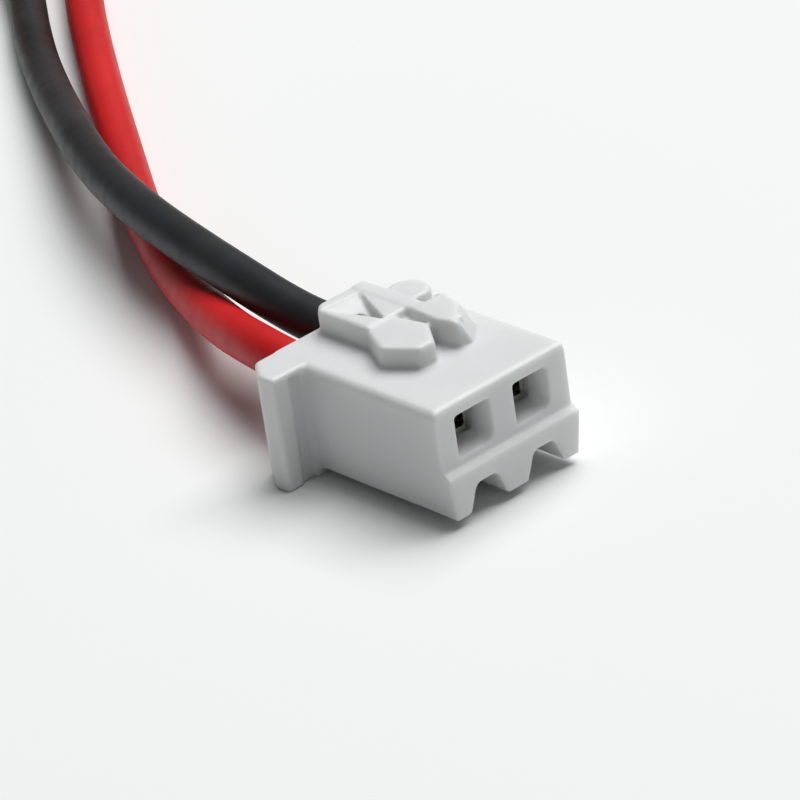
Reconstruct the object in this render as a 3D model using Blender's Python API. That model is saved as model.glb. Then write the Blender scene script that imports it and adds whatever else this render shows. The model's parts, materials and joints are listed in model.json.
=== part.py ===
"""Single-cell lithium polymer battery pack with two leads and a two-way crimp plug.

World frame: the pack lies flat with its origin at the middle of its underside,
+X runs along the pack towards the leads, +Z is up.  The plug has a frame of its
own, the empty plug_frame: +X across its two ways, -Y out of its mating face.
All lengths are metres; MM turns millimetres into metres.
"""
import math

import bmesh
import bpy
from mathutils import Matrix, Vector

MM = 0.001

# --- cell -------------------------------------------------------------------
PACK_LENGTH = 42.0 * MM
PACK_WIDTH = 25.6 * MM
PACK_HEIGHT = 7.65 * MM
SKIN = 0.10 * MM             # label and polyimide wall
SKIN_GAP = 0.05 * MM         # between the skins and the pouch
LAMINATE = 0.12 * MM         # pouch foil wall
TERRACE_LENGTH = 4.6 * MM    # sealed shelf that the tabs leave through
END_ROOM = 1.4 * MM          # shelf edge to the end of the pack
SEAM_HEIGHT = 4.35 * MM      # folded-up side seam
SEAM_GAP = 0.18 * MM         # seam to the side wall of the cup
POUCH_RADIUS = 1.1 * MM
SEALANT_ROOM = 0.34 * MM     # between the two foils at the shelf
STACK_CLEARANCE = 0.20 * MM
STACK_RADIUS = 3.1 * MM
STACK_END_ROOM = 0.65 * MM   # the foil is rounded where its ends turn up

# --- tabs and board ---------------------------------------------------------
TAB_WIDTH = 3.0 * MM
TAB_THICKNESS = 0.10 * MM
TAB_Y = 8.9 * MM
TAB_BEND = 0.40 * MM
FILM_WIDTH = 5.0 * MM
FILM_LENGTH = 2.8 * MM
SHEET_GAP = 0.04 * MM        # between parts that lie on each other
FOAM_HEIGHT = 0.80 * MM
BOARD_LENGTH = 21.6 * MM
BOARD_WIDTH = 4.4 * MM
BOARD_THICKNESS = 0.80 * MM
PLATE_LENGTH = 2.7 * MM
PLATE_WIDTH = 3.4 * MM
PLATE_THICKNESS = 0.24 * MM
CHIP_LENGTH = 2.9 * MM
CHIP_WIDTH = 1.6 * MM
CHIP_HEIGHT = 1.0 * MM
CHIP_Y = 4.95 * MM
CHIP_LEG_PITCH = 0.95 * MM
RESISTOR_SIZE = (1.6 * MM, 0.8 * MM, 0.45 * MM)
RESISTOR_Y = 2.85 * MM
CAPACITOR_SIZE = (1.0 * MM, 0.5 * MM, 0.5 * MM)

# --- leads ------------------------------------------------------------------
LEAD_DIAMETER = 1.54 * MM
STRAND_DIAMETER = 0.50 * MM
LEAD_Y = 1.40 * MM           # half the spacing of the leads at the board
LEAD_CLEARANCE = 0.05 * MM
STRIP_LENGTH = 1.9 * MM
SOLDER_RADIUS = 0.70 * MM
LEAD_POINT_STEP = 3.0 * MM

# --- plug (in plug_frame) ---------------------------------------------------
PLUG_PLACE = (81.7 * MM, 11.1 * MM, 0.0)
PLUG_TURN = math.radians(125.0)
PITCH = 2.5 * MM
BODY_WIDTH = 5.6 * MM
BODY_TOP = 4.05 * MM
BODY_BOTTOM = 0.30 * MM
BODY_DEPTH = 7.65 * MM
EDGE_ROUND = 0.30 * MM
LIP_DEPTH = 0.37 * MM
LIP_TOP = 1.96 * MM
LIP_SLOPE = 0.26 * MM
LEG_TAPER = 0.12 * MM
LEG_TAPER_HEIGHT = 1.35 * MM
NOTCH_FOOT = 1.62 * MM       # width of a notch at the feet of the legs
NOTCH_CEILING = 0.88 * MM    # width of a notch at its ceiling
NOTCH_HEIGHT = 0.90 * MM
FLANGE_FRONT = 6.1 * MM
FLANGE_NEAR = 4.1 * MM       # reach of the grip flange on the red lead's side
FLANGE_FAR = 3.35 * MM       # and on the black lead's side
FLANGE_CHAMFER = 0.6 * MM
MOUTH_WIDTH = 1.40 * MM
MOUTH_TOP = 3.60 * MM
MOUTH_BOTTOM = 2.10 * MM
MOUTH_RAMP = 0.36 * MM
MOUTH_DEPTH = 0.90 * MM
CAVITY_CLEARANCE = 0.08 * MM
REAR_CAVITY_FRONT = 5.1 * MM
LEAD_AXIS = 2.70 * MM        # height of both leads where they leave the plug
PLATFORM_HEIGHT = 0.85 * MM
PLATFORM_LEFT = 0.95 * MM
PLATFORM_RIGHT = 1.60 * MM
PLATFORM_FRONT = 4.4 * MM
RIM_WIDTH = 0.30 * MM
RECESS_RIGHT = 0.45 * MM
RECESS_FRONT = 4.8 * MM
RECESS_REAR = 7.2 * MM
RECESS_FLOOR = 0.08 * MM     # above the body's top, at its front
WINDOW_FRONT = 5.0 * MM
WINDOW_REAR = 6.0 * MM
NEAR_BOSS = (-0.55 * MM, 3.55 * MM, 1.10 * MM, 0.72 * MM)   # x, y, radius, height
FAR_BOSS = (1.40 * MM, 3.30 * MM, 0.95 * MM, 0.85 * MM)
SLOT_X = 1.67 * MM
SLOT_WIDTH = 0.28 * MM
SLOT_FRONT = 4.8 * MM
SLOT_REAR = 6.3 * MM

# --- crimp contacts (in plug_frame) ----------------------------------------
CONTACT_WALL = 0.15 * MM
BOX_HEIGHT = 1.20 * MM
BOX_FRONT = 1.0 * MM
BOX_REAR = 3.9 * MM
BOX_BOTTOM = 2.35 * MM
BARREL_WALL = 0.14 * MM
BARREL_CLEARANCE = 0.03 * MM
WIRE_BARREL = (4.4 * MM, 5.3 * MM)
GRIP_BARREL = (5.9 * MM, 7.1 * MM)
INSULATION_START = 5.75 * MM
LANCE_REAR = 3.5 * MM
LANCE_LENGTH = 1.1 * MM
LANCE_WIDTH = 0.6 * MM
LANCE_RISE = 0.18 * MM
LANCE_CLEARANCE = 0.06 * MM

# Heights that follow from the stack of parts, from the underside up.
TRAY_BOTTOM = SKIN + SKIN_GAP
TRAY_TOP = TRAY_BOTTOM + LAMINATE
CUP_BOTTOM = TRAY_TOP + SEALANT_ROOM
CUP_TOP = PACK_HEIGHT - SKIN - SKIN_GAP
SHELF_TOP = CUP_BOTTOM + LAMINATE
FOAM_BOTTOM = SHELF_TOP + SHEET_GAP
FOAM_TOP = FOAM_BOTTOM + FOAM_HEIGHT
BOARD_BOTTOM = FOAM_TOP + SHEET_GAP
BOARD_TOP = BOARD_BOTTOM + BOARD_THICKNESS
ON_BOARD = BOARD_TOP + SHEET_GAP
PLATE_TOP = ON_BOARD + PLATE_THICKNESS
BOARD_LEAD_AXIS = ON_BOARD + LEAD_DIAMETER / 2 + SHEET_GAP

# Places along the pack.
REAR_END = -PACK_LENGTH / 2
FRONT_END = PACK_LENGTH / 2
SHELF_END = FRONT_END - END_ROOM
CUP_FRONT = SHELF_END - TERRACE_LENGTH
BOARD_REAR = CUP_FRONT + 0.4 * MM
BOARD_FRONT = BOARD_REAR + BOARD_WIDTH
BOARD_MIDDLE = (BOARD_REAR + BOARD_FRONT) / 2
LEAD_START = BOARD_FRONT - 0.7 * MM
SEAM_HALF = PACK_WIDTH / 2 - SKIN - 0.2 * MM
CUP_HALF = SEAM_HALF - LAMINATE - SEAM_GAP
SHELF_HALF = CUP_HALF - 0.3 * MM

# Both routes are lists of points in the world frame, in millimetres.  They end
# in the plug, at the height of its crimp contacts.
BLACK_ROUTE = [
    (19.1, -1.4, 3.26), (21.0, -1.4, 3.26), (23.4, -1.4, 3.11), (26.4, -1.37, 2.1),
    (29.8, -1.3, 1.07), (34.9, -1.19, 0.81), (38.2, -1.2, 0.83), (41.7, -1.1, 0.94),
    (45.5, -0.86, 1.2), (49.6, -0.5, 1.6), (53.7, -0.07, 2.02), (57.7, 0.57, 2.42),
    (62.7, 1.85, 2.83), (68.5, 4.03, 3.02), (72.2, 5.93, 2.81), (74.72, 7.74, 2.7),
    (76.27, 8.83, 2.7),
]
RED_ROUTE = [
    (19.1, 1.4, 3.26), (21.0, 1.4, 3.26), (23.4, 1.4, 3.11), (26.4, 1.36, 2.1),
    (29.8, 1.28, 1.04), (33.0, 1.2, 0.82), (38.1, 1.05, 0.81), (45.0, 1.11, 0.81),
    (53.0, 1.35, 0.81), (56.9, 1.52, 0.81), (60.8, 1.9, 0.82), (63.6, 2.25, 0.97),
    (67.7, 2.93, 1.53), (70.9, 3.58, 2.1), (73.5, 4.33, 2.55), (75.37, 5.14, 2.7),
    (76.15, 5.69, 2.7), (77.71, 6.78, 2.7),
]


def clear_scene():
    for old in list(bpy.data.objects):
        bpy.data.objects.remove(old)


def finish(name, colour, roughness, metallic=0.0):
    """One Principled material for a sub-part."""
    material = bpy.data.materials.new(name)
    material.use_nodes = True
    shader = material.node_tree.nodes["Principled BSDF"]
    shader.inputs["Base Color"].default_value = (*colour, 1.0)
    shader.inputs["Roughness"].default_value = roughness
    shader.inputs["Metallic"].default_value = metallic
    return material


def add_object(name, bm, material=None, parent=None):
    bmesh.ops.recalc_face_normals(bm, faces=bm.faces)
    mesh = bpy.data.meshes.new(name)
    bm.to_mesh(mesh)
    bm.free()
    if material is not None:
        mesh.materials.append(material)
    piece = bpy.data.objects.new(name, mesh)
    bpy.context.scene.collection.objects.link(piece)
    piece.parent = parent
    return piece


def cutter(name, bm, parent=None):
    piece = add_object(name, bm, None, parent)
    piece.hide_render = True
    piece.display_type = "WIRE"
    return piece


def combine(piece, other, operation):
    step = piece.modifiers.new(operation.lower(), "BOOLEAN")
    step.operation = operation
    step.solver = "EXACT"
    step.object = other


def rounded_outline(corners, segments=4):
    """Corners are (u, v, radius); each one becomes a point or an arc."""
    points = []
    for index, (u, v, radius) in enumerate(corners):
        here = Vector((u, v))
        if radius <= 0.0:
            points.append(here)
            continue
        before = Vector(corners[index - 1][:2]) - here
        after = Vector(corners[(index + 1) % len(corners)][:2]) - here
        half = before.angle(after) / 2
        reach = radius / math.tan(half)
        middle = here + (before.normalized() + after.normalized()).normalized() * radius / math.sin(half)
        start = here + before.normalized() * reach - middle
        stop = here + after.normalized() * reach - middle
        sweep = start.angle_signed(stop)
        for step in range(segments + 1):
            turned = start.copy()
            turned.rotate(Matrix.Rotation(-sweep * step / segments, 2))
            points.append(middle + turned)
    return points


def prism(outline, axis, low, high):
    """A straight prism: the outline lies across the axis, in the other two axes' order."""
    bm = bmesh.new()
    place = {
        "X": lambda u, v: (low, u, v),
        "Y": lambda u, v: (u, low, v),
        "Z": lambda u, v: (u, v, low),
    }[axis]
    along = {"X": (1, 0, 0), "Y": (0, 1, 0), "Z": (0, 0, 1)}[axis]
    face = bm.faces.new([bm.verts.new(place(u, v)) for u, v in outline])
    grown = bmesh.ops.extrude_face_region(bm, geom=[face])
    moved = [item for item in grown["geom"] if isinstance(item, bmesh.types.BMVert)]
    bmesh.ops.translate(bm, verts=moved, vec=Vector(along) * (high - low))
    return bm


def rounded_rectangle(u0, u1, v0, v1, radius, top_radius=None, segments=4):
    top = radius if top_radius is None else top_radius
    corners = [(u0, v0, radius), (u1, v0, radius), (u1, v1, top), (u0, v1, top)]
    return rounded_outline(corners, segments)


def block(low, high):
    bm = bmesh.new()
    bmesh.ops.create_cube(bm, size=1.0)
    size = Vector(high) - Vector(low)
    bmesh.ops.scale(bm, vec=size, verts=bm.verts)
    bmesh.ops.translate(bm, vec=(Vector(high) + Vector(low)) / 2, verts=bm.verts)
    return bm


def soft_block(low, high, radius, sharp_side, segments=3):
    """A block with every edge rounded, apart from those that lie on one side of it."""
    bm = block(low, high)
    axis, value = sharp_side
    edges = [
        edge for edge in bm.edges
        if not all(abs(vert.co[axis] - value) < 1e-7 for vert in edge.verts)
    ]
    bmesh.ops.bevel(bm, geom=edges, offset=radius, segments=segments, profile=0.5,
                    affect="EDGES", material=-1, clamp_overlap=True)
    return bm


def rod(start, end, radius, sides=12):
    """A straight round bar between two points."""
    bm = bmesh.new()
    line = Vector(end) - Vector(start)
    bmesh.ops.create_cone(bm, cap_ends=True, segments=sides, radius1=radius, radius2=radius,
                          depth=line.length)
    turn = Vector((0, 0, 1)).rotation_difference(line).to_matrix().to_4x4()
    place = Matrix.Translation((Vector(end) + Vector(start)) / 2) @ turn
    bmesh.ops.transform(bm, matrix=place, verts=bm.verts)
    return bm


def smooth(piece, angle=35.0):
    piece.data.shade_smooth()
    piece.data.set_sharp_from_angle(angle=math.radians(angle))


# --- the cell ---------------------------------------------------------------
def make_pouch():
    foil = finish("pouch_foil", (0.62, 0.63, 0.65), 0.35, 0.9)
    low = (REAR_END + LAMINATE + SEAM_GAP, -CUP_HALF, CUP_BOTTOM)
    high = (CUP_FRONT, CUP_HALF, CUP_TOP)
    cup = add_object("pouch_cup", soft_block(low, high, POUCH_RADIUS, (2, CUP_BOTTOM)), foil)
    shelf = block((CUP_FRONT - LAMINATE / 2, -SHELF_HALF, CUP_BOTTOM), (SHELF_END, SHELF_HALF, SHELF_TOP))
    combine(cup, cutter("cup_shelf", shelf), "UNION")
    inside_low = (low[0] + LAMINATE, -CUP_HALF + LAMINATE, CUP_BOTTOM - 1.0 * MM)
    inside_high = (CUP_FRONT - LAMINATE, CUP_HALF - LAMINATE, CUP_TOP - LAMINATE)
    inside = soft_block(inside_low, inside_high, POUCH_RADIUS - LAMINATE, (2, inside_low[2]))
    combine(cup, cutter("cup_inside", inside), "DIFFERENCE")
    smooth(cup)

    low = (REAR_END, -SEAM_HALF, TRAY_BOTTOM)
    beyond = 2.0 * MM
    seam_top = TRAY_BOTTOM + SEAM_HEIGHT
    high = (CUP_FRONT, SEAM_HALF, seam_top + beyond)
    tray = add_object("pouch_tray", soft_block(low, high, POUCH_RADIUS / 2, (0, CUP_FRONT)), foil)
    inside_low = (REAR_END + LAMINATE, -SEAM_HALF + LAMINATE, TRAY_TOP)
    inside_high = (CUP_FRONT + beyond, SEAM_HALF - LAMINATE, high[2] + beyond)
    inside = soft_block(inside_low, inside_high, POUCH_RADIUS / 2 - LAMINATE, (0, inside_high[0]))
    combine(tray, cutter("tray_inside", inside), "DIFFERENCE")
    trim = block((REAR_END - beyond, -SEAM_HALF - beyond, seam_top),
                 (FRONT_END, SEAM_HALF + beyond, high[2] + beyond))
    combine(tray, cutter("tray_trim", trim), "DIFFERENCE")
    shelf = block((CUP_FRONT - 1.0 * MM, -SHELF_HALF, TRAY_BOTTOM), (SHELF_END, SHELF_HALF, TRAY_TOP))
    combine(tray, cutter("tray_shelf", shelf), "UNION")
    smooth(tray)


def make_electrode_stack():
    half = CUP_HALF - LAMINATE - STACK_CLEARANCE
    outline = rounded_rectangle(-half, half, TRAY_TOP + STACK_CLEARANCE,
                                CUP_TOP - LAMINATE - STACK_CLEARANCE, STACK_RADIUS, segments=6)
    low = REAR_END + 2 * LAMINATE + SEAM_GAP + STACK_END_ROOM
    high = CUP_FRONT - LAMINATE - STACK_END_ROOM
    stack = add_object("electrode_stack", prism(outline, "X", low, high),
                       finish("wound_electrodes", (0.06, 0.06, 0.065), 0.6))
    smooth(stack)


def tab_outline():
    """Side view of a tab: out along the shelf, up, and back over the board."""
    low = TRAY_TOP + SEALANT_ROOM / 2 - TAB_THICKNESS / 2
    inner_end = CUP_FRONT - LAMINATE - STACK_CLEARANCE
    outer = BOARD_FRONT + END_ROOM / 2 - TAB_THICKNESS / 2
    top = PLATE_TOP + SHEET_GAP + TAB_THICKNESS
    back = BOARD_MIDDLE - PLATE_LENGTH / 2 + 0.3 * MM
    return rounded_outline([
        (inner_end, low, 0.0),
        (outer, low, TAB_BEND),
        (outer, top, TAB_BEND),
        (back, top, 0.0),
        (back, top - TAB_THICKNESS, 0.0),
        (outer - TAB_THICKNESS, top - TAB_THICKNESS, TAB_BEND - TAB_THICKNESS),
        (outer - TAB_THICKNESS, low + TAB_THICKNESS, TAB_BEND - TAB_THICKNESS),
        (inner_end, low + TAB_THICKNESS, 0.0),
    ])


def make_terminal(side, word, metal):
    """Tab, its sealing film and its weld plate; side is -1 or +1 along Y."""
    middle = side * TAB_Y
    tab = prism(tab_outline(), "Y", middle - TAB_WIDTH / 2, middle + TAB_WIDTH / 2)
    smooth(add_object(word + "_tab", tab, metal))

    film_start = CUP_FRONT + 0.5 * MM
    film_low = TRAY_TOP + SHEET_GAP
    film_high = CUP_BOTTOM - SHEET_GAP
    film = add_object(
        word + "_tab_film",
        block((film_start, middle - FILM_WIDTH / 2, film_low),
              (film_start + FILM_LENGTH, middle + FILM_WIDTH / 2, film_high)),
        finish(word + "_film", (0.85, 0.85, 0.8), 0.4))
    slot_middle = (film_low + film_high) / 2
    slot_half = TAB_THICKNESS / 2 + SHEET_GAP / 2
    slot = block((film_start - 1.0 * MM, middle - TAB_WIDTH / 2 - SHEET_GAP, slot_middle - slot_half),
                 (film_start + FILM_LENGTH + 1.0 * MM, middle + TAB_WIDTH / 2 + SHEET_GAP,
                  slot_middle + slot_half))
    combine(film, cutter(word + "_film_slot", slot), "DIFFERENCE")

    low = (BOARD_MIDDLE - PLATE_LENGTH / 2, middle - PLATE_WIDTH / 2, ON_BOARD)
    high = (BOARD_MIDDLE + PLATE_LENGTH / 2, middle + PLATE_WIDTH / 2, PLATE_TOP)
    add_object(word + "_weld_plate", block(low, high), finish(word + "_plate", (0.6, 0.6, 0.58), 0.35, 1.0))


# --- the protection board ----------------------------------------------------
def make_board():
    half = BOARD_LENGTH / 2
    foam = block((BOARD_REAR + 0.1 * MM, -half + 0.3 * MM, FOAM_BOTTOM),
                 (SHELF_END - 0.2 * MM, half - 0.3 * MM, FOAM_TOP))
    add_object("foam_pad", foam, finish("white_foam", (0.85, 0.85, 0.82), 0.9))
    board = prism(rounded_rectangle(BOARD_REAR, BOARD_FRONT, -half, half, 0.4 * MM), "Z",
                  BOARD_BOTTOM, BOARD_TOP)
    add_object("protection_board", board, finish("green_board", (0.03, 0.2, 0.08), 0.35))


def make_chip(name, y_middle):
    """Small outline chip: a moulded body with three gull-wing legs on each side."""
    standoff = 0.10 * MM
    body = add_object(
        name,
        block((BOARD_MIDDLE - CHIP_WIDTH / 2, y_middle - CHIP_LENGTH / 2, ON_BOARD + standoff),
              (BOARD_MIDDLE + CHIP_WIDTH / 2, y_middle + CHIP_LENGTH / 2, ON_BOARD + standoff + CHIP_HEIGHT)),
        finish(name + "_body", (0.02, 0.02, 0.022), 0.5))
    leg_width = 0.4 * MM
    leg_thickness = 0.15 * MM
    reach = CHIP_WIDTH / 2 + 0.6 * MM
    knee = CHIP_WIDTH / 2 + 0.25 * MM
    root = CHIP_WIDTH / 2 - 0.1 * MM
    rise = ON_BOARD + standoff + CHIP_HEIGHT / 2
    for side in (-1, 1):
        for leg in (-1, 0, 1):
            outline = [
                (root, rise), (knee, rise), (knee, ON_BOARD + leg_thickness),
                (reach, ON_BOARD + leg_thickness), (reach, ON_BOARD),
                (knee - leg_thickness, ON_BOARD), (knee - leg_thickness, rise - leg_thickness),
                (root, rise - leg_thickness),
            ]
            outline = [(BOARD_MIDDLE + side * u, v) for u, v in outline]
            place = y_middle + leg * CHIP_LEG_PITCH
            shape = prism(outline, "Y", place - leg_width / 2, place + leg_width / 2)
            combine(body, cutter(f"{name}_leg_{side + 1}_{leg + 1}", shape), "UNION")


def make_small_part(name, y_middle, size, colour):
    low = (BOARD_MIDDLE - size[0] / 2, y_middle - size[1] / 2, ON_BOARD)
    high = (BOARD_MIDDLE + size[0] / 2, y_middle + size[1] / 2, ON_BOARD + size[2])
    add_object(name, block(low, high), finish(name + "_body", colour, 0.4))


def make_solder_joint(side, word):
    """A flat-bottomed dome of solder with a bore that the bared strands enter."""
    bm = bmesh.new()
    bmesh.ops.create_uvsphere(bm, u_segments=14, v_segments=8, radius=SOLDER_RADIUS)
    bmesh.ops.scale(bm, vec=(1.5, 1.0, 1.5), verts=bm.verts)
    middle = Vector((LEAD_START - STRIP_LENGTH / 2 - 0.3 * MM, side * LEAD_Y, ON_BOARD))
    lower = [vert for vert in bm.verts if vert.co.z < -SHEET_GAP / 10]
    bmesh.ops.delete(bm, geom=lower, context="VERTS")
    bmesh.ops.holes_fill(bm, edges=[edge for edge in bm.edges if edge.is_boundary])
    bmesh.ops.translate(bm, vec=middle, verts=bm.verts)
    dome = add_object(word + "_solder_joint", bm, finish(word + "_solder", (0.7, 0.7, 0.72), 0.25, 1.0))
    bore = rod((LEAD_START - STRIP_LENGTH - SHEET_GAP, side * LEAD_Y, BOARD_LEAD_AXIS),
               (LEAD_START + 1.0 * MM, side * LEAD_Y, BOARD_LEAD_AXIS),
               STRAND_DIAMETER / 2 + SHEET_GAP)
    combine(dome, cutter(word + "_solder_bore", bore), "DIFFERENCE")
    smooth(dome)
    strands = rod((LEAD_START - STRIP_LENGTH, side * LEAD_Y, BOARD_LEAD_AXIS),
                  (LEAD_START - SHEET_GAP, side * LEAD_Y, BOARD_LEAD_AXIS), STRAND_DIAMETER / 2)
    copper = finish(word + "_tinned_strands", (0.75, 0.7, 0.65), 0.3, 1.0)
    smooth(add_object(word + "_board_strands", strands, copper))


# --- the skins ----------------------------------------------------------------
def sleeve_outline(inset, radius):
    half = PACK_WIDTH / 2 - inset
    return rounded_rectangle(-half, half, inset, PACK_HEIGHT - inset, radius, radius * 1.6)


def make_label():
    outer_radius = 0.75 * MM
    label = add_object("label_sleeve",
                       prism(sleeve_outline(0.0, outer_radius), "X", REAR_END + 7.0 * MM, FRONT_END - 11.0 * MM),
                       finish("label_film", (0.05, 0.12, 0.35), 0.4))
    inside = prism(sleeve_outline(SKIN, outer_radius - SKIN), "X", REAR_END, FRONT_END)
    combine(label, cutter("label_inside", inside), "DIFFERENCE")
    smooth(label)


def tape_side_view(inset):
    """Side view of the polyimide wrap, from the pouch's top down over the board."""
    start = FRONT_END - 9.0 * MM - (1.0 * MM if inset else 0.0)
    front = FRONT_END - inset
    shoulder = CUP_FRONT + 0.5 * MM
    nose = 4.9 * MM
    top = PACK_HEIGHT - inset
    slope = inset * 0.45
    return [(start, inset), (front, inset), (front, nose - slope),
            (front - 0.7 * MM, nose + 0.5 * MM - slope), (shoulder - slope, top), (start, top)]


def make_tape():
    wide = PACK_WIDTH
    outer_radius = 0.75 * MM
    amber = finish("polyimide", (0.75, 0.42, 0.05), 0.25)
    tape = add_object("polyimide_wrap", prism(tape_side_view(0.0), "Y", -wide, wide), amber)
    outer = prism(sleeve_outline(0.0, outer_radius), "X", REAR_END, FRONT_END + wide)
    combine(tape, cutter("tape_section", outer), "INTERSECT")
    inner = cutter("tape_inside", prism(tape_side_view(SKIN), "Y", -wide, wide))
    section = prism(sleeve_outline(SKIN, outer_radius - SKIN), "X", REAR_END, FRONT_END + wide)
    combine(inner, cutter("tape_inside_section", section), "INTERSECT")
    combine(tape, inner, "DIFFERENCE")
    for side in (-1, 1):
        hole = rod((FRONT_END - 0.5 * MM, side * LEAD_Y, BOARD_LEAD_AXIS),
                   (FRONT_END + 0.5 * MM, side * LEAD_Y, BOARD_LEAD_AXIS),
                   LEAD_DIAMETER / 2 + LEAD_CLEARANCE + 0.05 * MM, sides=16)
        combine(tape, cutter(f"tape_hole_{side + 1}", hole), "DIFFERENCE")
    smooth(tape)


# --- the leads ------------------------------------------------------------------
def spline_points(route):
    """Points a few diameters apart on the smooth curve through a route (Catmull-Rom)."""
    nodes = [Vector(point) * MM for point in route]
    nodes = [2 * nodes[0] - nodes[1]] + nodes + [2 * nodes[-1] - nodes[-2]]
    fine = []
    for p0, p1, p2, p3 in zip(nodes, nodes[1:], nodes[2:], nodes[3:]):
        for step in range(16):
            t = step / 16
            fine.append(0.5 * ((2 * p1) + (p2 - p0) * t + (2 * p0 - 5 * p1 + 4 * p2 - p3) * t ** 2
                               + (3 * p1 - p0 - 3 * p2 + p3) * t ** 3))
    fine.append(nodes[-2])
    length = sum((b - a).length for a, b in zip(fine, fine[1:]))
    count = round(length / LEAD_POINT_STEP)
    points = [fine[0]]
    walked = 0.0
    for a, b in zip(fine, fine[1:]):
        walked += (b - a).length
        if walked >= len(points) * length / count and len(points) < count:
            points.append(b)
    points.append(fine[-1])
    return points


def make_lead(name, route, colour):
    curve = bpy.data.curves.new(name, "CURVE")
    curve.dimensions = "3D"
    curve.bevel_depth = LEAD_DIAMETER / 2
    curve.bevel_resolution = 2
    curve.use_fill_caps = True
    spline = curve.splines.new("POLY")
    points = spline_points(route)
    spline.points.add(len(points) - 1)
    for target, point in zip(spline.points, points):
        target.co = (*point, 1.0)
    spline.use_smooth = True
    curve.materials.append(finish(name + "_insulation", colour, 0.4))
    lead = bpy.data.objects.new(name, curve)
    bpy.context.scene.collection.objects.link(lead)


# --- the plug --------------------------------------------------------------------
def body_outline():
    """Front view of the body: a block that stands on three tapered legs."""
    half = BODY_WIDTH / 2
    corners = [(-half, BODY_TOP, EDGE_ROUND), (-half, BODY_BOTTOM + LEG_TAPER_HEIGHT, 0.0),
               (-half + LEG_TAPER, BODY_BOTTOM, 0.08 * MM)]
    ceiling = BODY_BOTTOM + NOTCH_HEIGHT
    for way in (-PITCH / 2, PITCH / 2):
        corners += [
            (way - NOTCH_FOOT / 2, BODY_BOTTOM, 0.08 * MM), (way - NOTCH_CEILING / 2, ceiling, 0.12 * MM),
            (way + NOTCH_CEILING / 2, ceiling, 0.12 * MM), (way + NOTCH_FOOT / 2, BODY_BOTTOM, 0.08 * MM),
        ]
    corners += [(half - LEG_TAPER, BODY_BOTTOM, 0.08 * MM),
                (half, BODY_BOTTOM + LEG_TAPER_HEIGHT, 0.0), (half, BODY_TOP, EDGE_ROUND)]
    return rounded_outline(corners, 2)


def mouth_outline(front):
    """Side view of a pin mouth: a ramp at its foot leads a pin up into the contact."""
    return [(front, MOUTH_BOTTOM), (MOUTH_DEPTH - 0.1 * MM, MOUTH_BOTTOM + MOUTH_RAMP),
            (MOUTH_DEPTH + 0.4 * MM, MOUTH_BOTTOM + MOUTH_RAMP), (MOUTH_DEPTH + 0.4 * MM, MOUTH_TOP),
            (front, MOUTH_TOP)]


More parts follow.
